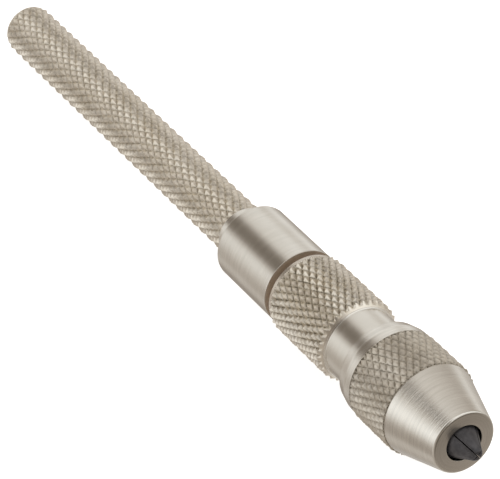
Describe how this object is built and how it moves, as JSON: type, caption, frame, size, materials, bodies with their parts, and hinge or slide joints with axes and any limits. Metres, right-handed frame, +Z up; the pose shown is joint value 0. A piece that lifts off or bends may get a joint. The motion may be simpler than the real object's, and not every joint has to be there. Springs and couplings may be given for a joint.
{
  "type": "pin vise drill",
  "caption": "Slim hand pin vise for fine drill bits: a knurled tubular handle, a plain ferrule, a knurled chuck body and a screw-down nose cap over a split collet.",
  "frame": {"origin": "on the tool axis, halfway between the collet tip and the flat end of the handle", "axes": "+X runs along the tool axis from the handle to the collet tip, +Z is up as the tool lies"},
  "size_m": [0.0984, 0.0114, 0.0114],
  "materials": {
    "body_nickel": "knurled, satin nickel plate on steel",
    "ferrule_nickel": "turned, satin nickel plate on steel",
    "handle_nickel": "knurled, satin nickel plate on steel",
    "cap_nickel": "turned and knurled, satin nickel plate on steel",
    "collet_steel": "blackened spring steel, ground"
  },
  "bodies": {
    "body": {"chuck_body": "body_nickel", "ferrule": "ferrule_nickel", "handle": "handle_nickel"},
    "collet": {"collet_ring": "collet_steel"},
    "cap": {"nose_cap": "cap_nickel"},
    "jaw_1": {"collet_jaw_1": "collet_steel"},
    "jaw_2": {"collet_jaw_2": "collet_steel"},
    "jaw_3": {"collet_jaw_3": "collet_steel"},
    "jaw_4": {"collet_jaw_4": "collet_steel"}
  },
  "joints": [
    {"name": "cap_turn", "type": "hinge", "parent": "body", "child": "collet", "pos_m": [0.02882, 0, 0], "axis": [1, 0, 0], "range_deg": [0, 1080]},
    {"name": "cap_advance", "type": "slide", "parent": "collet", "child": "cap", "axis": [1, 0, 0], "range_m": [0, 0.00225]},
    {"name": "jaw_1_flex", "type": "hinge", "parent": "collet", "child": "jaw_1", "pos_m": [0.03033, 0.0015, -0.0001], "axis": [0, 0.0698, 0.9976], "range_deg": [0, 1.5]},
    {"name": "jaw_2_flex", "type": "hinge", "parent": "collet", "child": "jaw_2", "pos_m": [0.03033, 0.0001, 0.0015], "axis": [0, -0.9976, 0.0698], "range_deg": [0, 1.5]},
    {"name": "jaw_3_flex", "type": "hinge", "parent": "collet", "child": "jaw_3", "pos_m": [0.03033, -0.0015, 0.0001], "axis": [0, -0.0698, -0.9976], "range_deg": [0, 1.5]},
    {"name": "jaw_4_flex", "type": "hinge", "parent": "collet", "child": "jaw_4", "pos_m": [0.03033, -0.0001, -0.0015], "axis": [0, 0.9976, -0.0698], "range_deg": [0, 1.5]}
  ],
  "couplings": [
    {"joint": "cap_turn", "follows": "cap_advance", "rad_per_m": 8377.6},
    {"joint": "jaw_1_flex", "follows": "cap_advance", "rad_per_m": 11.465},
    {"joint": "jaw_2_flex", "follows": "cap_advance", "rad_per_m": 11.465},
    {"joint": "jaw_3_flex", "follows": "cap_advance", "rad_per_m": 11.465},
    {"joint": "jaw_4_flex", "follows": "cap_advance", "rad_per_m": 11.465}
  ]
}
